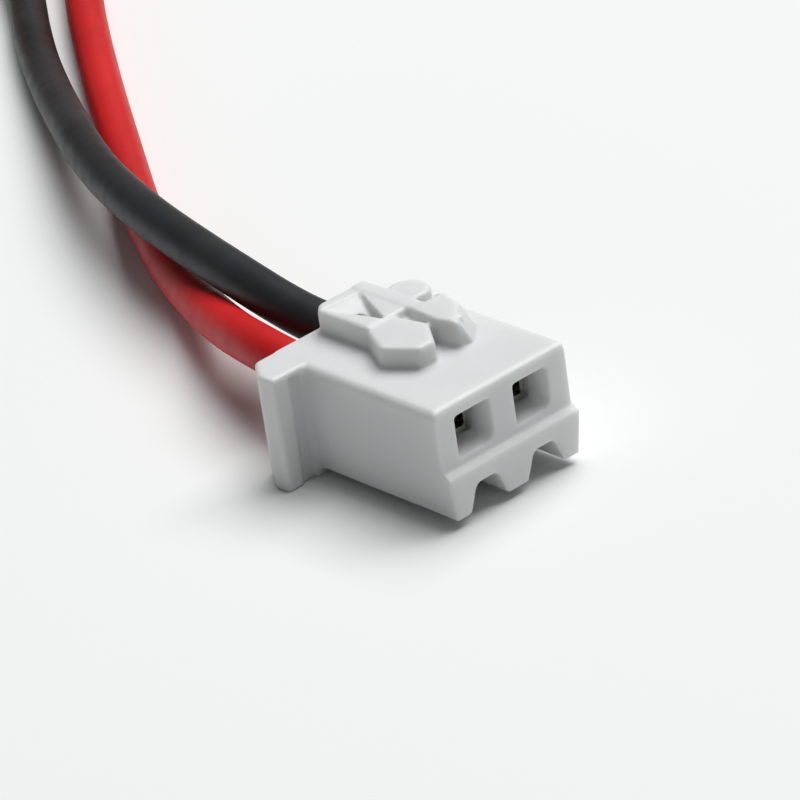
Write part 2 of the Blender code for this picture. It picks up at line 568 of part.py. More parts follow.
def make_housing(plug):
    beyond = 1.0 * MM
    white = finish("white_nylon", (0.86, 0.86, 0.85), 0.45)
    housing = add_object("plug_housing", prism(body_outline(), "Y", -LIP_DEPTH, BODY_DEPTH), white, plug)

    # The front face steps back above the lip.
    step = [(-beyond, LIP_TOP - LIP_SLOPE), (-LIP_DEPTH, LIP_TOP - LIP_SLOPE), (0.0, LIP_TOP),
            (0.0, BODY_TOP + beyond), (-beyond, BODY_TOP + beyond)]
    combine(housing, cutter("face_step", prism(step, "X", -BODY_WIDTH, BODY_WIDTH), plug), "DIFFERENCE")

    flange = rounded_outline([
        (-FLANGE_NEAR, FLANGE_FRONT, 0.35 * MM), (FLANGE_FAR, FLANGE_FRONT, 0.35 * MM),
        (FLANGE_FAR, BODY_DEPTH, 0.2 * MM), (-FLANGE_NEAR + FLANGE_CHAMFER, BODY_DEPTH, 0.0),
        (-FLANGE_NEAR, BODY_DEPTH - FLANGE_CHAMFER * 1.3, 0.0)], 3)
    combine(housing, cutter("grip_flange", prism(flange, "Z", 0.0, BODY_TOP), plug), "UNION")

    high = BODY_TOP + PLATFORM_HEIGHT
    sunk = BODY_TOP - 0.3 * MM
    platform = block((-PLATFORM_LEFT, PLATFORM_FRONT, sunk), (PLATFORM_RIGHT, BODY_DEPTH, high))
    combine(housing, cutter("platform", platform, plug), "UNION")
    for word, (x, y, radius, height) in (("near_boss", NEAR_BOSS), ("far_boss", FAR_BOSS)):
        boss = rod((x, y, sunk), (x, y, BODY_TOP + height), radius, sides=24)
        combine(housing, cutter(word, boss, plug), "UNION")
    x, y, radius, height = FAR_BOSS
    tongue = block((x - radius, y, sunk), (x + radius, SLOT_REAR + 0.4 * MM, BODY_TOP + height))
    combine(housing, cutter("far_tongue", tongue, plug), "UNION")

    floor = BODY_TOP + RECESS_FLOOR
    recess = [(RECESS_FRONT, floor), (WINDOW_REAR, floor), (RECESS_REAR, high + 0.1 * MM),
              (RECESS_FRONT, high + 0.1 * MM)]
    recess_left = -PLATFORM_LEFT + RIM_WIDTH
    combine(housing, cutter("recess", prism(recess, "X", recess_left, RECESS_RIGHT), plug), "DIFFERENCE")
    slot = block((SLOT_X, SLOT_FRONT, BODY_TOP + RECESS_FLOOR), (SLOT_X + SLOT_WIDTH, SLOT_REAR, high + beyond))
    combine(housing, cutter("far_slot", slot, plug), "DIFFERENCE")

    cavity_half = MOUTH_WIDTH / 2
    rear_half = LEAD_DIAMETER / 2 + BARREL_CLEARANCE + BARREL_WALL + CAVITY_CLEARANCE
    box_top = BOX_BOTTOM + BOX_HEIGHT + CAVITY_CLEARANCE
    for index, way in enumerate((-PITCH / 2, PITCH / 2)):
        mouth = prism(mouth_outline(-beyond / 4), "X", way - cavity_half, way + cavity_half)
        combine(housing, cutter(f"mouth_{index}", mouth, plug), "DIFFERENCE")
        front = block((way - cavity_half, MOUTH_DEPTH, BOX_BOTTOM - CAVITY_CLEARANCE),
                      (way + cavity_half, REAR_CAVITY_FRONT + 0.2 * MM, box_top))
        combine(housing, cutter(f"front_cavity_{index}", front, plug), "DIFFERENCE")
        pocket = block((way - LANCE_WIDTH / 2 - LANCE_CLEARANCE, LANCE_REAR - LANCE_LENGTH, MOUTH_TOP - 0.3 * MM),
                       (way + LANCE_WIDTH / 2 + LANCE_CLEARANCE, LANCE_REAR + LANCE_CLEARANCE,
                        BOX_BOTTOM + BOX_HEIGHT + LANCE_RISE + LANCE_CLEARANCE))
        combine(housing, cutter(f"lance_pocket_{index}", pocket, plug), "DIFFERENCE")
        rear = block((way - rear_half, REAR_CAVITY_FRONT, LEAD_AXIS - rear_half),
                     (way + rear_half, BODY_DEPTH + beyond, LEAD_AXIS + rear_half))
        combine(housing, cutter(f"rear_cavity_{index}", rear, plug), "DIFFERENCE")
    window = block((recess_left - 0.1 * MM, WINDOW_FRONT, BOX_BOTTOM + BOX_HEIGHT / 2),
                   (RECESS_RIGHT - 0.3 * MM, WINDOW_REAR, BODY_TOP + RECESS_FLOOR + 0.05 * MM))
    combine(housing, cutter("lance_window", window, plug), "DIFFERENCE")
    smooth(housing, 30.0)


def make_contact(name, way, plug):
    """A stamped crimp contact: open box, lance, wire barrel and insulation barrel."""
    tin = finish(name + "_tin", (0.6, 0.58, 0.54), 0.3, 1.0)
    half = MOUTH_WIDTH / 2 - CAVITY_CLEARANCE
    wall = CONTACT_WALL
    box_top = BOX_BOTTOM + BOX_HEIGHT
    contact = add_object(name, block((way - half, BOX_FRONT, BOX_BOTTOM), (way + half, BOX_REAR, box_top)),
                         tin, plug)
    hollow = block((way - half + wall, BOX_FRONT - 1.0 * MM, BOX_BOTTOM + wall),
                   (way + half - wall, BOX_REAR + 0.1 * MM, box_top - wall))
    combine(contact, cutter(name + "_box_hollow", hollow, plug), "DIFFERENCE")

    lance = [(LANCE_REAR - LANCE_LENGTH, box_top - wall / 2), (LANCE_REAR, box_top + LANCE_RISE - wall),
             (LANCE_REAR, box_top + LANCE_RISE), (LANCE_REAR - LANCE_LENGTH + wall, box_top + wall / 4)]
    lance_shape = prism(lance, "X", way - LANCE_WIDTH / 2, way + LANCE_WIDTH / 2)
    combine(contact, cutter(name + "_lance", lance_shape, plug), "UNION")

    strip_half = 0.35 * MM
    grip_radius = LEAD_DIAMETER / 2 + BARREL_CLEARANCE
    wire_radius = STRAND_DIAMETER / 2 + BARREL_CLEARANCE
    wire_foot = LEAD_AXIS - wire_radius - BARREL_WALL
    grip_foot = LEAD_AXIS - grip_radius - BARREL_WALL
    lip = 0.1 * MM
    spine = [
        (BOX_REAR - 2 * lip, BOX_BOTTOM + lip / 2), (BOX_REAR - 2 * lip, BOX_BOTTOM + wall - lip / 4),
        (BOX_REAR, BOX_BOTTOM + wall - lip / 4), (WIRE_BARREL[0], wire_foot + BARREL_WALL * 0.8),
        (WIRE_BARREL[1], wire_foot + BARREL_WALL * 0.8),
        (GRIP_BARREL[0] - lip, grip_foot + BARREL_WALL * 0.8), (GRIP_BARREL[1] - lip, grip_foot + BARREL_WALL * 0.8),
        (GRIP_BARREL[1] - lip, grip_foot + BARREL_WALL * 0.1), (GRIP_BARREL[0] - lip, grip_foot + BARREL_WALL * 0.1),
        (WIRE_BARREL[1] - lip, wire_foot + BARREL_WALL * 0.1), (WIRE_BARREL[0], wire_foot + BARREL_WALL * 0.1),
    ]
    strip = prism(spine, "X", way - strip_half, way + strip_half)
    combine(contact, cutter(name + "_strip", strip, plug), "UNION")
    for word, span, radius in (("wire", WIRE_BARREL, wire_radius), ("grip", GRIP_BARREL, grip_radius)):
        barrel = rod((way, span[0], LEAD_AXIS), (way, span[1], LEAD_AXIS), radius + BARREL_WALL, sides=16)
        combine(contact, cutter(f"{name}_{word}_barrel", barrel, plug), "UNION")
        bore = rod((way, span[0] - 0.2 * MM, LEAD_AXIS), (way, span[1] + 0.2 * MM, LEAD_AXIS), radius, sides=16)
        combine(contact, cutter(f"{name}_{word}_bore", bore, plug), "DIFFERENCE")
    smooth(contact)

    copper = finish(name + "_strands_copper", (0.75, 0.5, 0.35), 0.35, 1.0)
    strands = rod((way, WIRE_BARREL[0] - 0.3 * MM, LEAD_AXIS),
                  (way, INSULATION_START - SHEET_GAP, LEAD_AXIS), STRAND_DIAMETER / 2)
    smooth(add_object(name.replace("contact", "plug_strands"), strands, copper, plug))


def make_plug():
    plug = bpy.data.objects.new("plug_frame", None)
    bpy.context.scene.collection.objects.link(plug)
    plug.location = PLUG_PLACE
    plug.rotation_euler = (0.0, 0.0, PLUG_TURN)
    make_housing(plug)
    make_contact("red_contact", -PITCH / 2, plug)
    make_contact("black_contact", PITCH / 2, plug)


clear_scene()
make_pouch()
make_electrode_stack()
make_terminal(-1, "negative", finish("nickel_tab", (0.6, 0.58, 0.52), 0.3, 1.0))
make_terminal(1, "positive", finish("aluminium_tab", (0.8, 0.8, 0.82), 0.3, 1.0))
make_board()
make_chip("mosfet_chip", -CHIP_Y)
make_chip("protection_chip", CHIP_Y)
make_small_part("resistor_1", RESISTOR_Y, RESISTOR_SIZE, (0.03, 0.03, 0.03))
make_small_part("resistor_2", -RESISTOR_Y, RESISTOR_SIZE, (0.03, 0.03, 0.03))
make_small_part("capacitor", (CHIP_Y + CHIP_LENGTH / 2 + TAB_Y - PLATE_WIDTH / 2) / 2, CAPACITOR_SIZE,
                (0.45, 0.3, 0.18))
make_solder_joint(-1, "black")
make_solder_joint(1, "red")
make_label()
make_tape()
make_lead("black_lead", BLACK_ROUTE, (0.01, 0.01, 0.012))
make_lead("red_lead", RED_ROUTE, (0.6, 0.01, 0.01))
make_plug()
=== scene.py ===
# %% [markdown]
# # A small single-cell battery pack with its plug
#
# The real object is a flat foil pouch in a printed sleeve.  A small board sits under
# amber tape at one end, and a red and a black lead run from it to a white two-way
# plug.  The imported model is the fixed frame: every piece below takes its place from
# it, and pieces whose plain solid isn't good enough are modelled again around it.

# %% Load the frame
import json
import math

import bmesh
import bpy
from mathutils import Matrix, Vector

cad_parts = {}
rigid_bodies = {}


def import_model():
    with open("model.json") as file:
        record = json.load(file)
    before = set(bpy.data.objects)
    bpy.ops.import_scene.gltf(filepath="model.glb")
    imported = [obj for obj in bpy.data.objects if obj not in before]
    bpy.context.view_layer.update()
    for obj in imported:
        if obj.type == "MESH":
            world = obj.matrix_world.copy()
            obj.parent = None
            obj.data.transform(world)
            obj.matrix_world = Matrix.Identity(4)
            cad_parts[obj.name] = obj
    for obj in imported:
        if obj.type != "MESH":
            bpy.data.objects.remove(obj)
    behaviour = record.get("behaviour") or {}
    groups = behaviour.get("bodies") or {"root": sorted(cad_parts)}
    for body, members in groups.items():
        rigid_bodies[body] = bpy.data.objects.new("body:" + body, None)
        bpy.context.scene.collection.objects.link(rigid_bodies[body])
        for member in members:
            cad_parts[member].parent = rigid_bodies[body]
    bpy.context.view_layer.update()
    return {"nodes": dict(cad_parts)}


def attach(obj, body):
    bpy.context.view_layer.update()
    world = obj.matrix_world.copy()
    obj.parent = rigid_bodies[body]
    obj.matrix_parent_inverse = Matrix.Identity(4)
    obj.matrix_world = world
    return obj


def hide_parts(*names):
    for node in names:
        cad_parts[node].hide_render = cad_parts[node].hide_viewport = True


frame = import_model()
MM = 0.001
nodes = frame["nodes"]
print("frame:", len(nodes), "nodes")

# %% [markdown]
# ## The camera
#
# A long lens close to the floor's level shows the plug from its mating end.  The
# camera is placed from the point it looks at: a distance, a bearing, a height above
# the horizon and a small roll.  Building the rotation from those four numbers keeps
# them readable, where three Euler angles would hide them.

# %% Camera
AIM = Vector((78.701, 8.200, 2.408)) * MM
CAMERA_DISTANCE = 150.0 * MM
BEARING = math.radians(85.94)
HEIGHT_ANGLE = math.radians(27.02)
ROLL = math.radians(-8.54)

lens = bpy.data.cameras.new("camera")
lens.lens = 211.73
lens.sensor_width = 36.0
lens.clip_start = 0.005
lens.clip_end = 5.0
camera = bpy.data.objects.new("camera", lens)
bpy.context.scene.collection.objects.link(camera)
toward = Vector((math.sin(BEARING) * math.cos(HEIGHT_ANGLE),
                 -math.cos(BEARING) * math.cos(HEIGHT_ANGLE), math.sin(HEIGHT_ANGLE)))
camera.location = AIM + toward * CAMERA_DISTANCE
upright = (-toward).to_track_quat("-Z", "Y").to_matrix().to_4x4()
camera.rotation_euler = (upright @ Matrix.Rotation(ROLL, 4, "Z")).to_euler()
bpy.context.scene.camera = camera
print("camera at", tuple(round(value / MM, 1) for value in camera.location), "mm")

# %% [markdown]
# ## Materials
#
# Every finish is a Principled shader with a few procedural nodes in front of it.
# The patterns read Object coordinates, which are metres here, so a noise scale of
# 3000 repeats about every third of a millimetre.  The small class below holds one
# material and adds a node or two with each call, so that a finish reads as a short
# list of what its surface does.

# %% Material helpers
class Finish:
    """One Principled material, with short calls that add the nodes of its pattern."""

    def __init__(self, name, colour, roughness, metallic=0.0):
        self.material = bpy.data.materials.new(name)
        self.material.use_nodes = True
        self.tree = self.material.node_tree
        self.shader = self.tree.nodes["Principled BSDF"]
        self.shader.inputs["Base Color"].default_value = (*colour, 1.0)
        self.shader.inputs["Roughness"].default_value = roughness
        self.shader.inputs["Metallic"].default_value = metallic
        self.place = self.tree.nodes.new("ShaderNodeTexCoord").outputs["Object"]

    def set(self, **values):
        """Sets shader sockets by name: coat_weight=0.2 sets Coat Weight."""
        for name, value in values.items():
            words = " ".join(word.capitalize() for word in name.split("_"))
            self.shader.inputs[words.replace("Ior", "IOR")].default_value = value
        return self

    def link(self, source, target):
        self.tree.links.new(source, target)

    def stretched(self, scale=(1.0, 1.0, 1.0), turn=(0.0, 0.0, 0.0)):
        """Object coordinates through a Mapping node."""
        node = self.tree.nodes.new("ShaderNodeMapping")
        node.inputs["Scale"].default_value = scale
        node.inputs["Rotation"].default_value = turn
        self.link(self.place, node.inputs["Vector"])
        return node.outputs["Vector"]

    def noise(self, scale, detail=3.0, roughness=0.5, place=None):
        node = self.tree.nodes.new("ShaderNodeTexNoise")
        node.inputs["Scale"].default_value = scale
        node.inputs["Detail"].default_value = detail
        node.inputs["Roughness"].default_value = roughness
        self.link(place or self.place, node.inputs["Vector"])
        return node.outputs["Fac"]

    def steps(self, source, low, high, first, last):
        """Maps a range of a pattern to a range of numbers."""
        node = self.tree.nodes.new("ShaderNodeMapRange")
        node.inputs["From Min"].default_value = low
        node.inputs["From Max"].default_value = high
        node.inputs["To Min"].default_value = first
        node.inputs["To Max"].default_value = last
        self.link(source, node.inputs["Value"])
        return node.outputs["Result"]

    def blend(self, factor, first, last):
        """A colour between two, by a factor."""
        node = self.tree.nodes.new("ShaderNodeMix")
        node.data_type = "RGBA"
        for socket, value in ((node.inputs[6], first), (node.inputs[7], last)):
            if isinstance(value, tuple):
                socket.default_value = (*value, 1.0)
            else:
                self.link(value, socket)
        self.link(factor, node.inputs[0])
        return node.outputs[2]

    def colour(self, source):
        self.link(source, self.shader.inputs["Base Color"])
        return self

    def roughness(self, source):
        self.link(source, self.shader.inputs["Roughness"])
        return self

    def bump(self, source, height, strength=1.0):
        """Adds a bump of the given height in metres, on top of any earlier one."""
        node = self.tree.nodes.new("ShaderNodeBump")
        node.inputs["Distance"].default_value = height
        node.inputs["Strength"].default_value = strength
        self.link(source, node.inputs["Height"])
        normal = self.shader.inputs["Normal"]
        if normal.is_linked:
            self.link(normal.links[0].from_socket, node.inputs["Normal"])
        self.link(node.outputs["Normal"], normal)
        return self


print("material helpers ready")

# %% [markdown]
# ## The studio
#
# A small white object is shown best on a pale floor under one large soft light.  The
# light hangs behind the plug and high above it, so that the top is bright and the
# front and the near side fall into an even shade.  The floor gives most of the light
# that reaches the sides, which is how a white table works in a real studio.  The air
# is a world shader with a faint strength, because a strong one would flatten the
# shade.

# %% Floor, light and air
STUDIO_SIZE = 0.5             # half the floor's side, in metres
AIR_LIGHT = 0.14
AIR_SEEN = 0.88

floor_finish = Finish("studio_floor", (0.81, 0.825, 0.82), 0.9)
bm = bmesh.new()
bmesh.ops.create_grid(bm, x_segments=1, y_segments=1, size=STUDIO_SIZE)
floor_mesh = bpy.data.meshes.new("studio_floor")
bm.to_mesh(floor_mesh)
bm.free()
floor_mesh.materials.append(floor_finish.material)
floor = bpy.data.objects.new("studio_floor", floor_mesh)
bpy.context.scene.collection.objects.link(floor)

world = bpy.data.worlds.new("studio_air")
world.use_nodes = True
world.node_tree.nodes["Background"].inputs["Color"].default_value = (0.98, 0.99, 1.0, 1.0)
# Seen directly, the air is as pale as the floor.  As light it stays faint.
seen = world.node_tree.nodes.new("ShaderNodeLightPath").outputs["Is Camera Ray"]
strength = world.node_tree.nodes.new("ShaderNodeMath")
strength.operation = "MULTIPLY_ADD"
strength.inputs[1].default_value = AIR_SEEN - AIR_LIGHT
strength.inputs[2].default_value = AIR_LIGHT
world.node_tree.links.new(seen, strength.inputs[0])
world.node_tree.links.new(strength.outputs[0], world.node_tree.nodes["Background"].inputs["Strength"])
bpy.context.scene.world = world


def soft_box(name, place, target, size, power):
    """A square area light that faces a point; all lengths in millimetres."""
    light = bpy.data.lights.new(name, "AREA")
    light.size = size * MM
    light.energy = power
    lamp = bpy.data.objects.new(name, light)
    lamp.location = Vector(place) * MM
    line = Vector(target) * MM - lamp.location
    lamp.rotation_euler = line.to_track_quat("-Z", "Y").to_euler()
    bpy.context.scene.collection.objects.link(lamp)


soft_box("key_softbox", place=(-180.0, 292.0, 800.0), target=(60.0, 8.0, 0.0), size=760.0, power=10.3)
bpy.context.scene.view_settings.view_transform = "Standard"
print("studio ready")

# %% [markdown]
# ## The leads
#
# A lead is stranded copper in a thin skin of plastic.  Both run from the board,
# along the floor, and up to the crimps in the plug.  Each is a curve through a
# handful of points, read as one smooth Catmull-Rom line, with a round bevel.

# %% Lead routes
LEAD_DIAMETER = 1.54 * MM
BLACK_ROUTE = [
    (19.1, -1.4, 3.26), (21.0, -1.4, 3.26), (23.4, -1.4, 3.11), (26.4, -1.37, 2.1),
    (29.8, -1.3, 1.07), (34.9, -1.19, 0.81), (38.2, -1.2, 0.83), (41.7, -1.1, 0.94),
    (45.5, -0.86, 1.2), (49.6, -0.5, 1.6), (53.7, -0.07, 2.02), (57.7, 0.57, 2.42),
    (62.7, 1.85, 2.83), (68.5, 4.03, 3.02), (72.2, 5.93, 2.81), (74.72, 7.74, 2.7),
    (76.27, 8.83, 2.7),
]
RED_ROUTE = [
    (19.1, 1.4, 3.26), (21.0, 1.4, 3.26), (23.4, 1.4, 3.11), (26.4, 1.36, 2.1),
    (29.8, 1.28, 1.04), (33.0, 1.2, 0.82), (38.1, 1.05, 0.81), (45.0, 1.11, 0.81),
    (53.0, 1.35, 0.81), (56.9, 1.52, 0.81), (60.8, 1.9, 0.82), (63.6, 2.25, 0.97),
    (67.7, 2.93, 1.53), (70.9, 3.58, 2.1), (73.5, 4.33, 2.55), (75.37, 5.14, 2.7),
    (76.15, 5.69, 2.7), (77.71, 6.78, 2.7),
]


def smooth_line(route, steps=10):
    """Catmull-Rom points through a route given in millimetres."""
    knots = [Vector(point) * MM for point in route]
    knots = [2 * knots[0] - knots[1]] + knots + [2 * knots[-1] - knots[-2]]
    line = []
    for p0, p1, p2, p3 in zip(knots, knots[1:], knots[2:], knots[3:]):
        for step in range(steps):
            t = step / steps
            line.append(0.5 * (2 * p1 + (p2 - p0) * t + (2 * p0 - 5 * p1 + 4 * p2 - p3) * t ** 2
                               + (3 * p1 - p0 - 3 * p2 + p3) * t ** 3))
    return line + [knots[-2]]


def line_length(line):
    return sum((b - a).length for a, b in zip(line, line[1:]))


black_line = smooth_line(BLACK_ROUTE)
red_line = smooth_line(RED_ROUTE)
print("leads:", round(line_length(black_line) / MM, 1), "and", round(line_length(red_line) / MM, 1), "mm")

# %% [markdown]
# The insulation is a satin plastic.  It reflects little, so its specular level is
# low, and its colour drifts slightly along the lead.  A curve with a round bevel is
# used for its shape, because the bevel stays round through every bend.

# %% Lead insulation
LEAD_BEVEL_RESOLUTION = 8


def insulation(name, deep, pale):
    """Satin plastic with a slow change of tone and a very fine drawn texture."""
    made = Finish(name, deep, 0.42)
    tone = made.steps(made.noise(260.0, 4.0), 0.35, 0.65, 0.0, 1.0)
    made.colour(made.blend(tone, deep, pale))
    made.roughness(made.steps(made.noise(1400.0, 2.0), 0.3, 0.7, 0.42, 0.52))
    made.bump(made.noise(5200.0, 3.0), 0.003 * MM, 0.3)
    return made.set(specular_ior_level=0.22)


def make_lead(name, line, finish):
    curve = bpy.data.curves.new(name, "CURVE")
    curve.dimensions = "3D"
    curve.bevel_depth = LEAD_DIAMETER / 2
    curve.bevel_resolution = LEAD_BEVEL_RESOLUTION
    curve.use_fill_caps = True
    spline = curve.splines.new("POLY")
    spline.points.add(len(line) - 1)
    for point, place in zip(spline.points, line):
        point.co = (*place, 1.0)
    spline.use_smooth = True
    curve.materials.append(finish.material)
    lead = bpy.data.objects.new(name, curve)
    bpy.context.scene.collection.objects.link(lead)
    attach(lead, "root")
    return lead


black_skin = insulation("black_insulation_look", (0.013, 0.014, 0.016), (0.026, 0.028, 0.032))
red_skin = insulation("red_insulation_look", (0.50, 0.008, 0.010), (0.60, 0.012, 0.014))
black_lead = make_lead("black_lead_skin", black_line, black_skin)
red_lead = make_lead("red_lead_skin", red_line, red_skin)
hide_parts("black_lead")
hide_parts("red_lead")
print("leads made")

# %% [markdown]
# ## The plug
#
# The housing is one injection moulding, so every edge on it is a little round and
# every wall flows into the next.  It is cut and joined from bevelled blocks on a
# bench where one unit is a millimetre, then remeshed finely and smoothed, which
# rounds the small edges that no bevel reached, the way a mould does.  The bench
# has the plug's own axes: x across its two ways, y from its mating face back to
# the leads, z up.  One matrix then takes it to its place.

# %% Bench tools
PLUG_TURN = math.radians(125.0)
PLUG_PLACE = Vector((81.7, 11.1, 0.0)) * MM
FROM_BENCH = (Matrix.Translation(PLUG_PLACE) @ Matrix.Rotation(PLUG_TURN, 4, "Z")
              @ Matrix.Scale(MM, 4))


def block(low, high):
    """A cube between two corners."""
    bm = bmesh.new()
    bmesh.ops.create_cube(bm, size=1.0)
    bmesh.ops.scale(bm, vec=Vector(high) - Vector(low), verts=bm.verts)
    bmesh.ops.translate(bm, vec=(Vector(high) + Vector(low)) / 2, verts=bm.verts)
    return bm


def disc(x, y, low, high, radius):
    """An upright round post."""
    bm = bmesh.new()
    bmesh.ops.create_cone(bm, cap_ends=True, segments=48, radius1=radius, radius2=radius,
                          depth=high - low)
    bmesh.ops.translate(bm, vec=(x, y, (low + high) / 2), verts=bm.verts)
    return bm


def slab(outline, axis, low, high):
    """An outline of a few corners across one axis, extruded along it."""
    bm = bmesh.new()
    places = {"X": lambda u, v: (low, u, v), "Y": lambda u, v: (u, low, v),
              "Z": lambda u, v: (u, v, low)}
    face = bm.faces.new([bm.verts.new(places[axis](u, v)) for u, v in outline])
    grown = bmesh.ops.extrude_face_region(bm, geom=[face])["geom"]
    corners = [item for item in grown if isinstance(item, bmesh.types.BMVert)]
    way = Vector([letter == axis for letter in "XYZ"]) * (high - low)
    bmesh.ops.translate(bm, vec=way, verts=corners)
    bmesh.ops.recalc_face_normals(bm, faces=bm.faces)
    return bm


def soften(bm, radius, pick, segments=4):
    """Bevels the edges whose middle and direction the pick function accepts."""
    edges = []
    for edge in bm.edges:
        a, b = edge.verts
        if pick((a.co + b.co) / 2, (b.co - a.co).normalized()):
            edges.append(edge)
    bmesh.ops.bevel(bm, geom=edges, offset=radius, segments=segments, profile=0.5,
                    affect="EDGES", material=-1, clamp_overlap=True)
    return bm


def add_piece(name, bm, finish=None):
    mesh = bpy.data.meshes.new(name)
    bm.to_mesh(mesh)
    bm.free()
    if finish:
        mesh.materials.append(finish.material)
    piece = bpy.data.objects.new(name, mesh)
    bpy.context.scene.collection.objects.link(piece)
    return piece


def settle(piece):
    """Makes the piece's modifiers part of its mesh."""
    graph = bpy.context.evaluated_depsgraph_get()
    mesh = bpy.data.meshes.new_from_object(piece.evaluated_get(graph))
    piece.modifiers.clear()
    piece.data = mesh


def join(piece, bm, operation="UNION"):
    """Joins a shape to a piece, or cuts it out."""
    tool = add_piece("tool", bm)
    step = piece.modifiers.new(operation, "BOOLEAN")
    step.operation = operation
    step.solver = "MANIFOLD"
    step.object = tool
    settle(piece)
    bpy.data.objects.remove(tool)


def cut(piece, bm):
    join(piece, bm, "DIFFERENCE")


print("bench tools ready")

# %% [markdown]
# All sizes of the plug are in bench units, which are millimetres.  Heights start at
# the floor, and depths at the front face above the lip.

# %% Plug sizes
HALF_PITCH = 1.25
HALF_BODY = 2.8
FAR_SIDE = 2.93              # the far wall stands a little further out
BODY_TOP = 4.05
BODY_REAR = 7.65
FOOT = 0.30                  # the legs stop above the floor
LIP_DEPTH = 0.37
LIP_TOP = 1.96
LIP_SLOPE = 0.26
LEG_TAPER = 0.12
LEG_TAPER_TOP = 1.65
NOTCH_FOOT = 0.81            # half widths of a notch
NOTCH_CEILING = 0.44
NOTCH_HEIGHT = 0.90
FLANGE_FRONT = 6.1
FLANGE_NEAR = -4.1
FLANGE_FAR = 3.35
PLATFORM_TOP = 4.90
SUNK = 3.75                  # how deep raised shapes reach into the body
CEILING = FOOT + NOTCH_HEIGHT
BEYOND = 1.0                 # how far a cutting shape reaches past the body
HAIR = 0.01                  # tolerance when edges are picked by their place
print("plug:", 2 * HALF_BODY, "x", BODY_REAR + LIP_DEPTH, "x", BODY_TOP, "mm")

# %% [markdown]
# The body is one front outline, extruded backwards.  Two notches under the pin ways
# leave three tapered legs.  Above the lip the front face steps back, which one
# cutting shape does, and a second one rounds the long edge over the mouths.

# %% Body on its legs
def along(axis):
    index = "XYZ".index(axis)
    return lambda direction: abs(direction[index]) > 0.99


def body_front():
    """The front outline: two halves that mirror each other round the middle leg."""
    half = [(HALF_BODY, BODY_TOP), (HALF_BODY, LEG_TAPER_TOP), (HALF_BODY - LEG_TAPER, FOOT),
            (HALF_PITCH + NOTCH_FOOT, FOOT), (HALF_PITCH + NOTCH_CEILING, CEILING),
            (HALF_PITCH - NOTCH_CEILING, CEILING), (HALF_PITCH - NOTCH_FOOT, FOOT)]
    wider = FAR_SIDE - HALF_BODY
    far = [(u + wider * (v > CEILING), v) for u, v in half]
    return far + [(-u, v) for u, v in reversed(half)]


def notch_corner(middle, line):
    return along("Y")(line) and abs(middle.z - CEILING) < HAIR


def near_top_edge(middle, line):
    return along("Y")(line) and middle.z > BODY_TOP - HAIR and middle.x < 0


FRONT_EDGE = 0.20             # rounding of the long edge over the mouths

bm = slab(body_front(), "Y", -LIP_DEPTH, BODY_REAR)
soften(bm, 0.16, notch_corner)
soften(bm, 0.30, near_top_edge)
housing = add_piece("plug_moulding", bm)
above = BODY_TOP + BEYOND
step_back = [(-BEYOND, LIP_TOP - LIP_SLOPE), (-LIP_DEPTH, LIP_TOP - LIP_SLOPE), (0.0, LIP_TOP),
             (0.0, above), (-BEYOND, above)]
cut(housing, slab(step_back, "X", FLANGE_NEAR, -FLANGE_NEAR))
rounded_edge = [(-BEYOND, BODY_TOP - FRONT_EDGE), (0.0, BODY_TOP - FRONT_EDGE),
                (0.3 * FRONT_EDGE, BODY_TOP - 0.3 * FRONT_EDGE), (FRONT_EDGE, BODY_TOP),
                (FRONT_EDGE, above), (-BEYOND, above)]
cut(housing, slab(rounded_edge, "X", FLANGE_NEAR, -FLANGE_NEAR))
print("body:", len(housing.data.polygons), "faces")

# %% [markdown]
# Fingers pull the plug by the flange at its rear, which reaches past the body on
# both sides and down to the floor.  Its near end has a shallow upright groove beside
# the body.

# %% Grip flange
FLANGE_OUTLINE = (
    (FLANGE_NEAR, FLANGE_FRONT), (FLANGE_FAR, FLANGE_FRONT), (FLANGE_FAR, BODY_REAR),
    (FLANGE_NEAR + 0.60, BODY_REAR), (FLANGE_NEAR, BODY_REAR - 0.85),
)
GROOVE = ((-3.44, FLANGE_FRONT - BEYOND / 2, -BEYOND / 2), (-2.86, FLANGE_FRONT + 0.14, 3.85))


def top_or_upright(top):
    """Picks the upright edges of a slab and the edges round its top."""
    return lambda middle, line: middle.z > top - HAIR or along("Z")(line)


flange = slab(FLANGE_OUTLINE, "Z", 0.0, BODY_TOP)
soften(flange, 0.12, top_or_upright(BODY_TOP), 3)
join(housing, flange)
cut(housing, block(*GROOVE))
print("flange joined")

# %% [markdown]
# The top carries a stepped platform.  Two blunt bosses stand in front of it, with a
# valley between them, a long rib runs back on the far side, and a three-cornered
# recess ramps down to a small window over the near contact's lance.

# %% Platform, bosses and rib
PLATFORM = ((-0.95, 4.85), (1.43, 4.85), (1.43, 7.62), (-0.60, 7.62), (-0.95, 7.27))
NEAR_BOSS = ((-1.57, 3.65), (-0.87, 2.50), (-0.20, 2.50), (0.60, 3.65), (0.30, 4.95), (-0.95, 4.95))
VALLEY = ((-0.33, 3.72), (1.03, 3.72), (1.03, 5.03), (-0.33, 5.03))
RIB = ((0.75, 2.93), (1.39, 2.76), (1.39, 7.58), (0.75, 7.58))
RIB_END = (
    (0.65, 3.36), (0.85, 2.54), (1.45, 2.34), (2.33, 3.16), (2.60, 4.20), (1.60, 4.64), (0.71, 4.57),
)
RIB_END_TOP = 4.97
RIB_END_LEAN = (-0.45, 0.40)  # how far the top of the rib's end leans in
FAR_POST = (1.75, 5.85, 0.75)   # x, y and radius
RAISED = (                    # outline, top and rounding
    (PLATFORM, PLATFORM_TOP, 0.14), (NEAR_BOSS, 4.81, 0.16), (VALLEY, 4.60, 0.10), (RIB, 4.95, 0.12),
)

for outline, top, rounding in RAISED:
    bm = slab(outline, "Z", SUNK, top)
    soften(bm, rounding, top_or_upright(top), 3)
    join(housing, bm)

